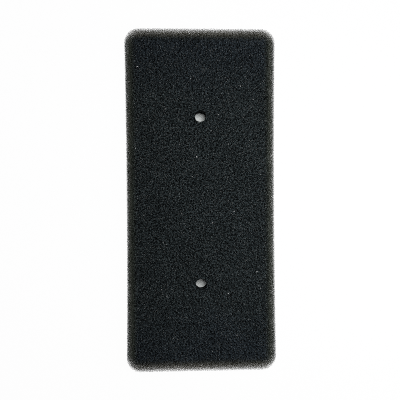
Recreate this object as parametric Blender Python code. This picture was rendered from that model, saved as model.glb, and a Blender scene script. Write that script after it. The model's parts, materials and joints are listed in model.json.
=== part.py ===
"""Flat open-cell foam filter pad, die-cut from sheet, with two through-holes on its long centre line.

X runs across the pad, Y along it and Z through its thickness. The origin is the middle of its lower face.
"""
import math

import bmesh
import bpy

# Driving sizes, in metres
PAD_LENGTH = 0.240
PAD_WIDTH = 0.105
PAD_THICKNESS = 0.010
CORNER_RADIUS = 0.010
SIDE_DRAW_IN = 0.0008      # each long edge stands this much further in at its middle than at its ends
RIM_ROUND = 0.0005         # rounding where the faces meet the cut edges and the hole walls
HOLE_DIAMETER = 0.008
HOLE_PITCH = 0.118         # between the two hole centres, along Y

# Facets of the curved stretches
CORNER_STEPS = 10
SIDE_STEPS = 24
HOLE_STEPS = 48
RIM_STEPS = 2
RIM_ANGLE = math.radians(45)

FOAM_COLOUR = (0.0144, 0.0175, 0.0188, 1.0)
FOAM_ROUGHNESS = 0.9


def clear_scene():
    for old in list(bpy.data.objects):
        bpy.data.objects.remove(old, do_unlink=True)


def foam_material():
    material = bpy.data.materials.new("charcoal_foam")
    material.use_nodes = True
    shader = material.node_tree.nodes["Principled BSDF"]
    shader.inputs["Base Color"].default_value = FOAM_COLOUR
    shader.inputs["Roughness"].default_value = FOAM_ROUGHNESS
    shader.inputs["Metallic"].default_value = 0.0
    return material


def corner_arc(centre, start_angle):
    """A quarter circle, counter-clockwise, with both of its ends."""
    points = []
    for step in range(CORNER_STEPS + 1):
        angle = start_angle + math.pi / 2 * step / CORNER_STEPS
        x = centre[0] + CORNER_RADIUS * math.cos(angle)
        y = centre[1] + CORNER_RADIUS * math.sin(angle)
        points.append((x, y))
    return points


def long_edge(start, end):
    """A long cut edge between two corners, drawn in as a shallow parabola, without its ends."""
    inward = -math.copysign(1, start[0])
    points = []
    for step in range(1, SIDE_STEPS):
        along = step / SIDE_STEPS
        depth = SIDE_DRAW_IN * (1 - (2 * along - 1) ** 2)
        points.append((start[0] + inward * depth, start[1] + (end[1] - start[1]) * along))
    return points


def pad_outline():
    """The die-cut outline, counter-clockwise from the corner at +X, -Y. Its two short edges are straight."""
    reach_x = PAD_WIDTH / 2 - CORNER_RADIUS
    reach_y = PAD_LENGTH / 2 - CORNER_RADIUS
    centres = [(reach_x, -reach_y), (reach_x, reach_y), (-reach_x, reach_y), (-reach_x, -reach_y)]
    arcs = [corner_arc(centre, math.pi / 2 * (turn - 1)) for turn, centre in enumerate(centres)]
    right = long_edge(arcs[0][-1], arcs[1][0])
    left = long_edge(arcs[2][-1], arcs[3][0])
    return arcs[0] + right + arcs[1] + arcs[2] + left + arcs[3]


def foam_blank():
    """The pad before its holes: the outline raised through the sheet's thickness."""
    shape = bmesh.new()
    rim = [shape.verts.new((x, y, 0.0)) for x, y in pad_outline()]
    lower = shape.faces.new(rim)
    raised = bmesh.ops.extrude_face_region(shape, geom=[lower])
    upper_rim = [item for item in raised["geom"] if isinstance(item, bmesh.types.BMVert)]
    bmesh.ops.translate(shape, verts=upper_rim, vec=(0.0, 0.0, PAD_THICKNESS))
    bmesh.ops.recalc_face_normals(shape, faces=shape.faces)
    mesh = bpy.data.meshes.new("foam_pad")
    shape.to_mesh(mesh)
    shape.free()
    pad = bpy.data.objects.new("foam_pad", mesh)
    bpy.context.collection.objects.link(pad)
    return pad


def hole_cutter(name, y):
    """A drill for one hole, twice as long as the pad is thick, so that it passes both faces."""
    shape = bmesh.new()
    bmesh.ops.create_cone(
        shape,
        cap_ends=True,
        segments=HOLE_STEPS,
        radius1=HOLE_DIAMETER / 2,
        radius2=HOLE_DIAMETER / 2,
        depth=2 * PAD_THICKNESS,
    )
    mesh = bpy.data.meshes.new(name)
    shape.to_mesh(mesh)
    shape.free()
    cutter = bpy.data.objects.new(name, mesh)
    cutter.location = (0.0, y, PAD_THICKNESS / 2)
    cutter.display_type = "WIRE"
    cutter.hide_render = True
    bpy.context.collection.objects.link(cutter)
    return cutter


def cut_holes(pad):
    for name, y in (("far_hole_cutter", HOLE_PITCH / 2), ("near_hole_cutter", -HOLE_PITCH / 2)):
        cut = pad.modifiers.new(name, "BOOLEAN")
        cut.operation = "DIFFERENCE"
        cut.solver = "EXACT"
        cut.object = hole_cutter(name, y)


def round_rims(pad):
    rounding = pad.modifiers.new("rim_round", "BEVEL")
    rounding.width = RIM_ROUND
    rounding.segments = RIM_STEPS
    rounding.limit_method = "ANGLE"
    rounding.angle_limit = RIM_ANGLE


def build_pad():
    pad = foam_blank()
    pad.data.materials.append(foam_material())
    cut_holes(pad)
    round_rims(pad)


clear_scene()
build_pad()
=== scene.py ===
import itertools
import json
import math

import bpy
import numpy as np
from mathutils import Matrix, Vector


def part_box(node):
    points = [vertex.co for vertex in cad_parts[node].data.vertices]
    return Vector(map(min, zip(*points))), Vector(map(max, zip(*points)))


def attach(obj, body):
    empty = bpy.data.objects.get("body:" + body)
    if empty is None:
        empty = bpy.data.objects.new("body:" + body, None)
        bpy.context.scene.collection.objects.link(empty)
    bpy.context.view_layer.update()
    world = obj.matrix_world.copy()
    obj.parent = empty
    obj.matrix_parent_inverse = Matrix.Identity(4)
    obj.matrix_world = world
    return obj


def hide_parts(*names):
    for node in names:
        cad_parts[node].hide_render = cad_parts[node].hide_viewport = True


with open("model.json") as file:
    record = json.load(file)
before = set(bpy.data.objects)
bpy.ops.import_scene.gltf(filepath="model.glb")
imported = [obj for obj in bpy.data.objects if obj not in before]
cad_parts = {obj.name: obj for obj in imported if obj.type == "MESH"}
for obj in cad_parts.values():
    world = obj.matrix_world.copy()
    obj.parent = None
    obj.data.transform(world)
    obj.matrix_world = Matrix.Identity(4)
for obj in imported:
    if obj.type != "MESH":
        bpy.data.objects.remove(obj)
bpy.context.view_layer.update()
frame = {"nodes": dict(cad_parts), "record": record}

# What the frame says of the pad, in metres
padLow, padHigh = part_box("foam_pad")
padWidth, padLength, padThickness = padHigh - padLow
cadPoints = np.array([v.co for v in frame["nodes"]["foam_pad"].data.vertices])
holeBoxes = np.array([hole["box_m"] for hole in frame["record"]["physics"]["openings"]])
holeCentres = holeBoxes.mean(axis=1)[:, :2]
holeRadius = np.hypot(*(cadPoints[:, :2] - holeCentres[0]).T).min()
waistBand = 0.001   # the long edges are drawn in most within this much of the pad's middle
waist = np.abs(cadPoints[np.abs(cadPoints[:, 1]) < waistBand, 0]).max()
hair = 1e-9         # keeps divisions and comparisons safe
print(f"pad {padWidth:.4f} x {padLength:.4f} x {padThickness:.4f} m, holes {2 * holeRadius:.4f} m")

# The die-cut shape

padCut = {
    "cornerRadius": 0.010,
    "endTrim": 0.0002,       # the short edges spring back by this much behind the blade
    "rimRound": 0.0004,      # the cut edges are a little rounded where they meet the faces
}


def outsideOutline(points):
    # how far each point lies outside the die-cut outline seen from above, negative inside it
    x, y = points.T[:2]
    radius = padCut["cornerRadius"]
    reachY = padLength / 2 - padCut["endTrim"] - radius
    drawIn = (padWidth / 2 - waist) * np.clip(1 - (y / reachY) ** 2, 0, 1)
    overX = np.abs(x) - (padWidth / 2 - drawIn - radius)
    overY = np.abs(y) - reachY
    outline = np.hypot(np.maximum(overX, 0), np.maximum(overY, 0)) - radius
    return outline + np.minimum(np.maximum(overX, overY), 0)


def behindWall(points):
    # how far each point lies behind the nearer hole's wall, negative in the hole
    fromCentres = [np.hypot(*(points[:, :2] - centre).T) for centre in holeCentres]
    return np.min(fromCentres, axis=0) - holeRadius


def outsideBy(points):
    # how far each point lies outside the pad, negative inside it
    rim = padCut["rimRound"]
    overSide = outsideOutline(points) + rim
    overFace = np.abs(points[:, 2] - padThickness / 2) - padThickness / 2 + rim
    away = np.hypot(np.maximum(overSide, 0), np.maximum(overFace, 0)) - rim
    away += np.minimum(np.maximum(overSide, overFace), 0)
    return np.maximum(away, -behindWall(points))


# Open-cell foam: bubbles pressed together, of which only the struts between them are left

foam = {
    "blockCells": 12,        # cells along each side of the block that repeats through the pad
    "settleRounds": 25,      # rounds in which the cells push each other apart
    "evenRounds": 3,         # rounds in which the struts even out
    "turn": (0.61, 0.37, 0.83),   # the block's turn against the pad, radians
    "thickSpread": 0.20,     # spread of the struts' thickness
    "coreThicker": 0.5,      # struts half way through the sheet are thicker by this share
    "coreDepth": 0.0024,
    "shortestStub": 0.12,    # a cut strut shorter than this share falls away
    "holePress": 1.5,        # the punch leaves the struts of a hole's wall thicker by this share
    "holePressDepth": 0.0006,
    "holePressFrom": 0.0015,   # full from this far under the upper face
    "seed": 11,
}
grades = {
    "body": {
        "poreWidth": 0.0023,      # a mean cell, metres across
        "strutReach": 0.000122,   # from a strut's middle to its edges
        "slices": 16,             # the mesh is kept in slices along the pad
    },
    "margin": {                   # the cut edge is finer, torn by the blade
        "poreWidth": 0.0014,
        "strutReach": 0.000049,
        "slices": 9,
        "width": 0.004,
        "overlap": 0.0006,
    },
}
blockCells = foam["blockCells"]


def settledCells(rng):
    # one cell in each cube of the block, as its stray from that cube, pushed apart until they pack
    pushReach, pushRate = 1.25, 0.25   # in cubes
    stray = rng.uniform(-0.5, 0.5, (blockCells, blockCells, blockCells, 3))
    hops = [hop for hop in itertools.product(range(-2, 3), repeat=3) if any(hop)]
    for _ in range(foam["settleRounds"]):
        push = np.zeros_like(stray)
        for hop in hops:
            gap = gapAlong(stray, hop)
            far = np.linalg.norm(gap, axis=-1, keepdims=True)
            push -= gap / far * np.clip(pushReach - far, 0, None)
        stray = stray + push * pushRate
    return stray


def gapAlong(stray, hop):
    # from each cell to the cell so many cubes away, through the block's faces where need be
    return np.array(hop) + np.roll(stray, [-h for h in hop], (0, 1, 2)) - stray


def bubbleJoints(stray):
    # the points with four cells at equal distance and none nearer: where, which cells, in which block
    candidates, farthest = 28, 1.4   # neighbours tried, and a joint's farthest cell in cubes
    cubes = np.stack(np.meshgrid(*[np.arange(blockCells)] * 3, indexing="ij"), -1).reshape(-1, 3)
    hops = np.array([hop for hop in itertools.product(range(-3, 4), repeat=3) if any(hop)])
    gaps = np.stack([gapAlong(stray, tuple(hop)).reshape(-1, 3) for hop in hops], axis=1)
    nearest = np.argsort(np.linalg.norm(gaps, axis=2), axis=1)[:, :candidates]
    triples = np.array(list(itertools.combinations(range(candidates), 3)))
    a, b, c = triples.T
    places, cells, blocks = [], [], []
    for cell, cube in enumerate(cubes):
        gap = gaps[cell, nearest[cell]]
        half = (gap ** 2).sum(axis=1) / 2
        cross = np.cross(gap[:, None], gap)
        meet = half[a, None] * cross[b, c] + half[b, None] * cross[c, a] + half[c, None] * cross[a, b]
        meet /= (gap[a] * cross[b, c]).sum(axis=1)[:, None]
        free = np.nonzero((meet ** 2).sum(axis=1) < farthest ** 2)[0]
        free = free[(meet[free] @ gap.T < half + hair).all(axis=1)]
        reached = cube + hops[nearest[cell]]
        names = reached % blockCells @ (blockCells ** 2, blockCells, 1)
        free = free[(names[triples[free]] > cell).all(axis=1)]   # each joint is met from four cells
        places.append(cube + stray.reshape(-1, 3)[cell] + meet[free])
        cells.append(np.insert(names[triples[free]], 0, cell, axis=1))
        blocks.append(np.insert(reached[triples[free]] // blockCells, 0, 0, axis=1))
    return np.concatenate(places), np.concatenate(cells), np.concatenate(blocks)


def foamBlock(rng):
    # the joints of one block; way k of a joint is the strut that leaves its cell k out
    places, cells, blocks = bubbleJoints(settledCells(rng))
    count = len(places)
    sides = np.stack([np.sort(np.delete(cells, k, axis=1), axis=1) for k in range(4)], axis=1)
    order = np.lexsort(sides.reshape(-1, 3).T)
    partner = np.empty(4 * count, int)
    partner[order[0::2]], partner[order[1::2]] = order[1::2], order[0::2]
    near = partner.reshape(count, 4) // 4
    match = np.argmax(cells[near][:, :, None, :] == cells[:, None, :, None], axis=3)
    own = np.arange(4)
    match[:, own, own] = partner.reshape(count, 4) % 4
    kept = (own + 1) % 4
    there = np.take_along_axis(match, kept[None, :, None], axis=2)[:, :, 0]
    hops = blocks[:, kept] - blocks[near, there]
    for _ in range(foam["evenRounds"]):
        places = (places + (places[near] + hops * blockCells).mean(axis=1)) / 2

    # the three cells around each strut, in one turning sense
    ways = places[near] + hops * blockCells - places[:, None]
    leans = ways.sum(axis=1, keepdims=True) - 2 * ways
    around = np.tile([[1, 2, 3], [0, 2, 3], [0, 1, 3], [0, 1, 2]], (count, 1, 1))
    p, q, r = (np.take_along_axis(leans, around[:, :, i, None], axis=1) for i in range(3))
    wrong = (np.cross(q - p, r - p) * ways).sum(axis=2) < 0
    around[wrong] = around[wrong][:, ::-1]
    return places, near, hops, match, around


def outsideGrade(points, name):
    # how far each point lies outside the part of the pad that is made of this grade
    margin = grades["margin"]
    inMargin = outsideOutline(points) + margin["width"]
    if name == "body":
        return np.maximum(outsideBy(points), inMargin)
    return np.maximum(outsideBy(points), -inMargin - margin["overlap"])


def foamNetwork(block, gradeName):
    # the block repeated through the pad: every joint's place, its four neighbours and its kind
    places, near, hops, match, around = block
    poreWidth = grades[gradeName]["poreWidth"]
    cellSpacing = poreWidth * (math.pi / 6) ** (1 / 3)   # cubes as big as the cells are this wide
    kinds = len(places)
    blockWidth = blockCells * cellSpacing
    x, y, z = (Matrix.Rotation(angle, 3, axis) for angle, axis in zip(foam["turn"], "XYZ"))
    turn = np.array(x @ y @ z)
    middle = np.array((padLow + padHigh) / 2)
    beyond = 2 * poreWidth   # joints this far outside are kept, for the struts that lead to them
    half = np.array(padHigh - padLow) / 2 + beyond
    spread = blockWidth * math.sqrt(3)
    span = np.ceil(np.linalg.norm(half) / blockWidth).astype(int) + 2
    grid = np.stack(np.meshgrid(*[np.arange(-span, span + 1)] * 3, indexing="ij"), -1).reshape(-1, 3)
    grid = grid[(np.abs((grid + 0.5) * blockWidth @ turn.T) < half + spread).all(axis=1)]
    everywhere = ((places + grid[:, None] * blockCells) * cellSpacing).reshape(-1, 3) @ turn.T + middle
    kept = np.nonzero(outsideGrade(everywhere, gradeName) < beyond)[0]
    blockAt = np.full([2 * span + 3] * 3, -1)
    blockAt[tuple((grid + span + 1).T)] = np.arange(len(grid))
    keptAs = np.full(len(everywhere) + 1, -1)
    keptAs[kept] = np.arange(len(kept))
    kind = kept % kinds
    nextBlock = blockAt[tuple(np.moveaxis(grid[kept // kinds][:, None] + hops[kind] + span + 1, -1, 0))]
    reached = np.where(nextBlock >= 0, keptAs[nextBlock * kinds + near[kind]], -1)
    places = everywhere[kept]
    inside = (outsideGrade(places, gradeName) < 0) & (reached >= 0).all(axis=1)
    inside &= inside[reached].any(axis=1)   # a joint with nothing to hold on to falls away
    print(f"{gradeName}: {len(grid)} blocks of {kinds} joints, {inside.sum()} joints in the pad")
    return places, inside, reached, kind, match, around


def meshPiece(name, points, quads, caps, material):
    mesh = bpy.data.meshes.new(name)
    mesh.vertices.add(len(points))
    mesh.vertices.foreach_set("co", points.astype(np.float32).ravel())
    mesh.loops.add(quads.size + caps.size)
    corners = np.concatenate((quads.ravel(), caps.ravel()))
    mesh.loops.foreach_set("vertex_index", corners.astype(np.int32))
    mesh.polygons.add(len(quads) + len(caps))
    starts = np.concatenate((np.arange(len(quads)) * 4, quads.size + np.arange(len(caps)) * 3))
    mesh.polygons.foreach_set("loop_start", starts.astype(np.int32))
    mesh.update(calc_edges=True)
    mesh.materials.append(material)

    # the bake's map is the view from above, because the finish varies only that way
    low, high = points.min(axis=0)[:2], points.max(axis=0)[:2]
    fromAbove = (points[corners, :2] - low) / (high - low)
    mesh.uv_layers.new(name="OFBake").uv.foreach_set("vector", fromAbove.astype(np.float32).ravel())
    piece = bpy.data.objects.new(name, mesh)
    bpy.context.scene.collection.objects.link(piece)
    return piece


def makeStruts(network, gradeName, rng, material):
    places, inside, near, kind, match, around = network

    # the four corners of each joint, one in each cell around it
    ways = places[near] - places[:, None]
    ways /= np.linalg.norm(ways, axis=2, keepdims=True).clip(hair)
    leans = ways.sum(axis=1, keepdims=True) - 2 * ways
    leans /= np.linalg.norm(leans, axis=2, keepdims=True).clip(hair)
    grade = grades[gradeName]
    reach = grade["strutReach"] * np.exp(rng.normal(0, foam["thickSpread"], len(places)))
    halfway = (places[:, 2] - padThickness / 2) / foam["coreDepth"]
    reach *= 1 + foam["coreThicker"] * np.exp(-halfway ** 2)
    fromWall = behindWall(places).clip(0)
    under = padHigh.z - places[:, 2]
    pressed = (under / foam["holePressFrom"]).clip(0, 1) * np.exp(-fromWall / foam["holePressDepth"])
    reach *= 1 + foam["holePress"] * pressed
    corners = places[:, None] + leans * reach[:, None, None]

    # struts, each listed once from a joint inside the pad, and cut at the pad's surface
    start, way = np.nonzero(inside[:, None] & (near >= 0))
    end = near[start, way]
    once = ~(inside[end] & (end < start))
    start, way, end = start[once], way[once], end[once]
    here = around[kind[start], way]
    there = np.take_along_axis(match[kind[start], way], here, axis=1)
    pointsA = corners[start[:, None], here]
    pointsB = corners[end[:, None], there]
    cut = ~inside[end]
    outA = outsideGrade(pointsA[cut].reshape(-1, 3), gradeName).reshape(-1, 3)
    outB = outsideGrade(pointsB[cut].reshape(-1, 3), gradeName).reshape(-1, 3)
    fall = outA - outB
    share = np.clip(outA / np.where(np.abs(fall) > hair, fall, hair), 0, 1)
    pointsB[cut] = pointsA[cut] + (pointsB[cut] - pointsA[cut]) * share[:, :, None]
    live = np.ones(len(start), bool)
    live[cut] = share.mean(axis=1) > foam["shortestStub"]
    start, way, end, here, there, pointsB, cut = (
        part[live] for part in (start, way, end, here, there, pointsB, cut))
    print(f"{gradeName}: {len(start)} struts, {cut.sum()} of them cut at the surface")

    # which slice of the pad each joint belongs to
    borders = np.quantile(places[inside, 1], np.arange(1, grade["slices"]) / grade["slices"])
    sliceOf = np.searchsorted(borders, places[:, 1])

    # which ways of a joint end in a strut of the same piece
    owner = sliceOf[start]
    joined = ~cut & (sliceOf[end] == owner)
    linked = np.zeros((len(places), 4), bool)
    linked[start, way] = True
    wayBack = match[kind[start], way, way]
    linked[end[joined], wayBack[joined]] = True

    pieces = []
    for number in range(grade["slices"]):
        hubs = np.nonzero(inside & (sliceOf == number))[0]
        place = np.full(len(places), -1)
        place[hubs] = np.arange(len(hubs)) * 4
        mine = owner == number
        loose = ~joined[mine]
        a = place[start[mine]][:, None] + here[mine]
        b = place[end[mine]][:, None] + there[mine]
        b[loose] = len(hubs) * 4 + np.arange(loose.sum() * 3).reshape(-1, 3)
        points = np.concatenate((corners[hubs].reshape(-1, 3), pointsB[mine][loose].reshape(-1, 3)))
        quads = np.stack([a, np.roll(a, -1, 1), np.roll(b, -1, 1), b], axis=2).reshape(-1, 4)
        hub, bare = np.nonzero(~linked[hubs])
        hubCaps = hub[:, None] * 4 + around[kind[hubs[hub]], bare]
        caps = np.concatenate((b[loose], hubCaps))
        name = f"foam_{gradeName}_{number + 1:02d}"
        pieces.append(meshPiece(name, points, quads, caps, material))
    return pieces


# Thin skins: webs that glint in a corner of some windows, and dark sheets of painted shade on the
# holes' walls

films = {
    "count": 3400,           # windows tried; those that are cut open keep no web
    "corners": 3,            # joints along the window that a web is stretched between
    "thickness": 0.00003,
}
# dark sheets of painted shade on the holes' walls, in patches
holeShadeSkin = {
    "patches": (44, 16),     # around the hole and down its wall
    "stray": 0.00012,
    "from": 0.0004,          # under the upper face
    "share": 0.85,           # of the wall that it covers
}


def windowRing(network, joint, a, b):
    # the joints around the window between two of a joint's cells, none if the window is cut open
    inside, near, kind, match = network[1:5]
    left, kept = (slot for slot in range(4) if slot not in (a, b))
    ring = []
    while joint not in ring and inside[joint]:
        ring.append(joint)
        there = match[kind[joint], left]
        joint = near[joint, left]
        a, b, left, kept = there[a], there[b], there[kept], there[left]
    return ring if inside[joint] else []


def glintRims(network, rng):
    places, inside = network[:2]
    for joint in rng.choice(np.nonzero(inside)[0], films["count"], replace=False):
        ring = windowRing(network, joint, *rng.choice(4, 2, replace=False))
        if ring:
            yield places[ring[:films["corners"]]]


# patches of painted shade that line the holes' walls
def shadeSkinRims(rng):
    around, down = holeShadeSkin["patches"]
    angle = 2 * math.pi * np.arange(around) / around
    level = np.linspace(padLow.z, padHigh.z - holeShadeSkin["from"], down + 1)
    for centre in holeCentres:
        grid = np.empty((around, down + 1, 3))
        grid[:, :, 0] = centre[0] + holeRadius * np.cos(angle)[:, None]
        grid[:, :, 1] = centre[1] + holeRadius * np.sin(angle)[:, None]
        grid[:, :, 2] = level
        grid += rng.uniform(-1, 1, grid.shape) * holeShadeSkin["stray"]
        for i, j in itertools.product(range(around), range(down)):
            if rng.random() < holeShadeSkin["share"]:
                k = (i + 1) % around
                yield np.array([grid[i, j], grid[k, j], grid[k, j + 1], grid[i, j + 1]])


def makeFilms(name, rims, material):
    points, quads, caps = [], [], []
    made = 0
    for rim in rims:
        middle = rim.mean(axis=0)
        spokes = rim - middle
        normal = np.cross(spokes, np.roll(spokes, -1, axis=0)).sum(axis=0)
        normal *= films["thickness"] / 2 / np.linalg.norm(normal)
        count = len(rim)
        upper = len(points) + np.arange(count)
        lower, tops = upper + count, np.full(count, len(points) + 2 * count)
        points += [*(rim + normal), *(rim - normal), middle + normal, middle - normal]
        upperNext, lowerNext = np.roll(upper, -1), np.roll(lower, -1)
        caps += [*zip(upper, upperNext, tops), *zip(lowerNext, lower, tops + 1)]
        quads += zip(lower, lowerNext, upperNext, upper)
        made += 1
    print(f"{name}: {made} skins")
    piece = meshPiece(name, np.array(points), np.array(quads), np.array(caps), material)
    piece.data.shade_flat()
    return piece


# Shader maths


class Socket:
    # a node's output, with operators that add Math nodes
    def __init__(self, tree, out=None):
        self.tree, self.out = tree, out

    def node(self, kind, settings=None, inputs=None, out=0):
        made = self.tree.nodes.new(kind)
        for key, value in (settings or {}).items():
            setattr(made, key, value)
        for key, value in (inputs or {}).items():
            if isinstance(value, Socket):
                self.tree.links.new(value.out, made.inputs[key])
            else:
                made.inputs[key].default_value = value
        return Socket(self.tree, made.outputs[out])

    def math(self, operation, a, b):
        return self.node("ShaderNodeMath", {"operation": operation}, {0: a, 1: b})

    def __add__(self, other):
        return self.math("ADD", self, other)

    def __radd__(self, other):
        return self.math("ADD", other, self)

    def __sub__(self, other):
        return self.math("SUBTRACT", self, other)

    def __rsub__(self, other):
        return self.math("SUBTRACT", other, self)

    def __mul__(self, other):
        return self.math("MULTIPLY", self, other)

    def __rmul__(self, other):
        return self.math("MULTIPLY", other, self)


def newMaterial(name):
    material = bpy.data.materials.new(name)
    material.use_nodes = True
    tree = material.node_tree
    return material, Socket(tree), tree.nodes["Principled BSDF"]


charcoal = {
    "colour": (0.0312, 0.0406, 0.0435),
    "colourCool": (0.0279, 0.0369, 0.0444),   # bluer towards the two ends
    "coolFrom": 0.55,        # share of the half length
    "coolSlope": 3.0,
    "driftLength": 0.045,    # the cool colour starts unevenly
    "drift": 1.5,
    "paintedEndLight": (0.080, 0.076, 0.055),       # painted light: olive glow just behind the two short cut edges, where light comes in through the cut
    "paintedSideLight": (0.053, 0.061, 0.046),      # painted light too, less of it behind the two long cut edges
    # how far behind a cut edge the painted rim light reaches
    "paintedRimLightWidth": 0.0080,
    "paintedLightSlope": 0.11,            # painted light: paler by this share at the +X side, where the lamps stand, darker at the other
    "bow": 0.15,             # darker by this share at both sides than in the middle
    "cloudLength": 0.020,    # uneven dye, in patches
    "cloudDetail": 4.0,
    "cloud": 0.85,
    "strutLength": 0.0012,   # from one strut to the next
    "strutContrast": 6.5,
    "roughLength": 0.0024,
    "roughSpread": 0.2,
    "grain": 0.6,            # weight of the finer detail in all of these patterns
}
# shade is how much the struts differ from each other, tone how light the finish is
strutFinish = {"roughness": 0.55, "gloss": 0.08, "tone": 1.0, "shade": 0.80}
edgeFinish = {"roughness": 0.55, "gloss": 0.08, "tone": 1.0, "shade": 0.10}
filmFinish = {"roughness": 0.10, "gloss": 1.0, "tone": 1.0, "shade": 0.80}
# painted shade: a near-black copy of the charcoal for the sheets on the holes' walls
wallShadeFinish = {"roughness": 0.7, "gloss": 0.02, "tone": 0.06, "shade": 0.80}


def along(sheet, axis, space="Object"):
    place = sheet.node("ShaderNodeTexCoord", out=space)
    return sheet.node("ShaderNodeSeparateXYZ", inputs={0: place}, out=axis)


def offCentre(sheet, axis):
    return sheet.math("ABSOLUTE", along(sheet, axis), 0.0)


def overOutline(sheet):
    # distance outside the pad's outline seen from above, negative inside
    radius = padCut["cornerRadius"]
    overX = offCentre(sheet, "X") - (padWidth / 2 - radius)
    overY = offCentre(sheet, "Y") - (padLength / 2 - radius)
    farX, farY = (sheet.math("MAXIMUM", over, 0.0) for over in (overX, overY))
    inner = sheet.math("MINIMUM", sheet.math("MAXIMUM", overX, overY), 0.0)
    return sheet.math("SQRT", farX * farX + farY * farY, 0.0) + inner - radius


def clamped(value):
    return value.node("ShaderNodeClamp", inputs={0: value})


def paintedLightBehindCut(sheet, axis, length):
    # painted light that comes in through a cut edge: nothing at the edge, most at a third of the rim's
    # width behind it, nothing again behind the rim
    near = clamped(1 + (offCentre(sheet, axis) - length / 2) * (1 / charcoal["paintedRimLightWidth"]))
    return near * near * (1 - near) * (27 / 4)   # 1 at its peak


def charcoalFoam(name, finish):
    material, sheet, shader = newMaterial(name)
    place = sheet.node("ShaderNodeTexCoord", out="Object")
    flat = sheet.node("ShaderNodeVectorMath", {"operation": "MULTIPLY"}, {0: place, 1: (1, 1, 0)})

    def mottle(length, detail=1.0):
        settings = {"noise_dimensions": "3D"}
        inputs = {"Vector": flat, "Scale": 1 / length, "Detail": detail, "Roughness": charcoal["grain"]}
        return sheet.node("ShaderNodeTexNoise", settings, inputs) - 0.5

    def mixed(share, a, b):
        inputs = {"Factor": share, "A": a, "B": b}
        return sheet.node("ShaderNodeMix", {"data_type": "RGBA"}, inputs, out="Result")

    ends = offCentre(sheet, "Y") * (2 / padLength) - charcoal["coolFrom"]
    cool = clamped(ends * charcoal["coolSlope"] + mottle(charcoal["driftLength"]) * charcoal["drift"])
    body = mixed(cool, (*charcoal["colour"], 1), (*charcoal["colourCool"], 1))
    # painted light: paler, olive struts behind the cut edges, as if lit through them
    sides = mixed(paintedLightBehindCut(sheet, "X", padWidth), body, (*charcoal["paintedSideLight"], 1))
    withRimLight = mixed(paintedLightBehindCut(sheet, "Y", padLength), sides, (*charcoal["paintedEndLight"], 1))
    across = along(sheet, "X") * (2 / padWidth)
    cloud = mottle(charcoal["cloudLength"], charcoal["cloudDetail"]) * charcoal["cloud"]
    # across the pad: paler towards +X as painted light, darker at both long sides, and uneven dye in
    # patches
    tone = (1 + across * charcoal["paintedLightSlope"] - across * across * charcoal["bow"] + cloud) * finish["tone"]
    strut = clamped(mottle(charcoal["strutLength"]) * charcoal["strutContrast"] + 0.5)
    shade = (strut * (2 * finish["shade"]) + (1 - finish["shade"])) * tone
    colour = sheet.node("ShaderNodeVectorMath", {"operation": "SCALE"}, {0: withRimLight, "Scale": shade})
    roughness = mottle(charcoal["roughLength"]) * charcoal["roughSpread"] + finish["roughness"]
    tree = material.node_tree
    tree.links.new(colour.out, shader.inputs["Base Color"])
    tree.links.new(roughness.out, shader.inputs["Roughness"])
    shader.inputs["Specular IOR Level"].default_value = finish["gloss"]
    return material


# The stage: pale table, soft light, camera

stage = {
    "floorSize": 6.0,
    "floorDrop": 0.0002,     # so far under the pad
    "floorColour": (0.89, 0.93, 0.915, 1),
    "floorRoughness": 0.8,
    "floorWhite": 0.97,      # share of plain white in what the camera sees of the open table
    "paintedLightUnderEdge": 0.0036,     # painted light: the table's white glow still reaches this far under the pad's edge
}


def seenDirectly(sheet):
    # 1 for what the camera sees, also in gloss and through glass
    rays = [sheet.node("ShaderNodeLightPath", out=ray)
            for ray in ("Is Camera Ray", "Is Glossy Ray", "Is Transmission Ray")]
    return sheet.math("MAXIMUM", sheet.math("MAXIMUM", rays[0], rays[1]), rays[2])


def makeFloor():
    mesh = bpy.data.meshes.new("table_top")
    half = stage["floorSize"] / 2
    level = padLow.z - stage["floorDrop"]
    rim = [(-half, -half, level), (half, -half, level), (half, half, level), (-half, half, level)]
    mesh.from_pydata(rim, [], [(0, 1, 2, 3)])
    floor = bpy.data.objects.new("table_top", mesh)
    bpy.context.scene.collection.objects.link(floor)
    material, sheet, shader = newMaterial("pale_table")
    shader.inputs["Base Color"].default_value = stage["floorColour"]
    shader.inputs["Roughness"].default_value = stage["floorRoughness"]
    shader.inputs["Specular IOR Level"].default_value = 0.0
    tree = material.node_tree
    white = sheet.node("ShaderNodeEmission", inputs={"Color": (1, 1, 1, 1), "Strength": 1.0})
    # painted light: the white glow covers the table up to the pad's outline and fades under its edge,
    # so the pad's shadow shows only faintly beside it
    paintedGlowBeside = clamped(1 + overOutline(sheet) * (1 / stage["paintedLightUnderEdge"]))
    share = seenDirectly(sheet) * paintedGlowBeside * paintedGlowBeside * stage["floorWhite"]
    table = Socket(tree, shader.outputs["BSDF"])
    mixed = sheet.node("ShaderNodeMixShader", inputs={0: share, 1: table, 2: white})
    tree.links.new(mixed.out, tree.nodes["Material Output"].inputs["Surface"])
    mesh.materials.append(material)


lamps = {
    "key": {"place": (0.20, -0.03, 0.19), "size": 0.20, "power": 0.44},
    "top": {"place": (0.06, 0.12, 0.40), "size": 0.20, "power": 1.05},
}
studio = {
    "level": 0.1,
    "walls": 0.8,            # brighter all round, near the table's level
    "wallHeight": 0.35,      # sine of the angle up to which they reach
}


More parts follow.
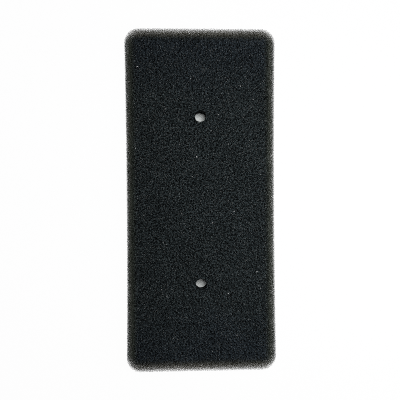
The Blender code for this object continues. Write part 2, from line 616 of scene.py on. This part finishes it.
def makeLight():
    for name, lamp in lamps.items():
        light = bpy.data.lights.new(name, "AREA")
        light.shape = "SQUARE"
        light.size = lamp["size"]
        light.energy = lamp["power"]
        holder = bpy.data.objects.new(name, light)
        holder.location = lamp["place"]
        aim = Vector((0, 0, padHigh.z)) - Vector(lamp["place"])
        holder.rotation_euler = aim.to_track_quat("-Z", "Y").to_euler()
        holder.visible_camera = False
        bpy.context.scene.collection.objects.link(holder)
    world = bpy.data.worlds.new("studio")
    bpy.context.scene.world = world
    world.use_nodes = True
    tree = world.node_tree
    backdrop = tree.nodes["Background"]
    backdrop.inputs["Color"].default_value = (1, 1, 1, 1)
    sheet = Socket(tree)
    up = along(sheet, "Z", "Generated")
    walls = clamped(1 - up * (1 / studio["wallHeight"])) * studio["walls"] + studio["level"]
    seen = seenDirectly(sheet)
    level = seen + (1 - seen) * walls
    tree.links.new(level.out, backdrop.inputs["Strength"])


camera = {
    "place": (-0.01073, 0.00293, 0.29234),
    "turn": (-0.524, -2.045, -0.386),    # rotation vector, degrees
    "lens": 36.40,
    "sensor": 36.0,
    "clipStart": 0.01,
}


def makeCamera():
    data = bpy.data.cameras.new("camera")
    data.lens = camera["lens"]
    data.sensor_width = camera["sensor"]
    data.clip_start = camera["clipStart"]
    holder = bpy.data.objects.new("camera", data)
    turn = Vector([math.radians(v) for v in camera["turn"]])
    turned = Matrix.Rotation(turn.length, 4, turn.normalized())
    holder.matrix_world = Matrix.Translation(camera["place"]) @ turned
    bpy.context.scene.collection.objects.link(holder)
    bpy.context.scene.camera = holder


bpy.context.scene.view_settings.view_transform = "Standard"
bpy.context.scene.cycles.use_denoising = False   # it would smear struts finer than a pixel
bpy.context.scene.cycles.filter_width = 1.0      # pixels, as crisp as the photo's grain
makeCamera()
makeFloor()
makeLight()
print("stage ready")

rng = np.random.default_rng(foam["seed"])
block = foamBlock(rng)
margin = foamNetwork(block, "margin")
body = foamNetwork(block, "body")
pieces = makeStruts(margin, "margin", rng, charcoalFoam("charcoal_edge", edgeFinish))
pieces += makeStruts(body, "body", rng, charcoalFoam("charcoal_foam", strutFinish))
pieces.append(makeFilms("foam_films", glintRims(body, rng), charcoalFoam("charcoal_film", filmFinish)))
# dark sheets of painted shade on the holes' walls
pieces.append(makeFilms("hole_shade_skins", shadeSkinRims(rng), charcoalFoam("charcoal_painted_shade", wallShadeFinish)))
for piece in pieces:
    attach(piece, "root")
    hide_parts("foam_pad")
    print(piece.name, len(piece.data.loops) - 2 * len(piece.data.polygons), "triangles")
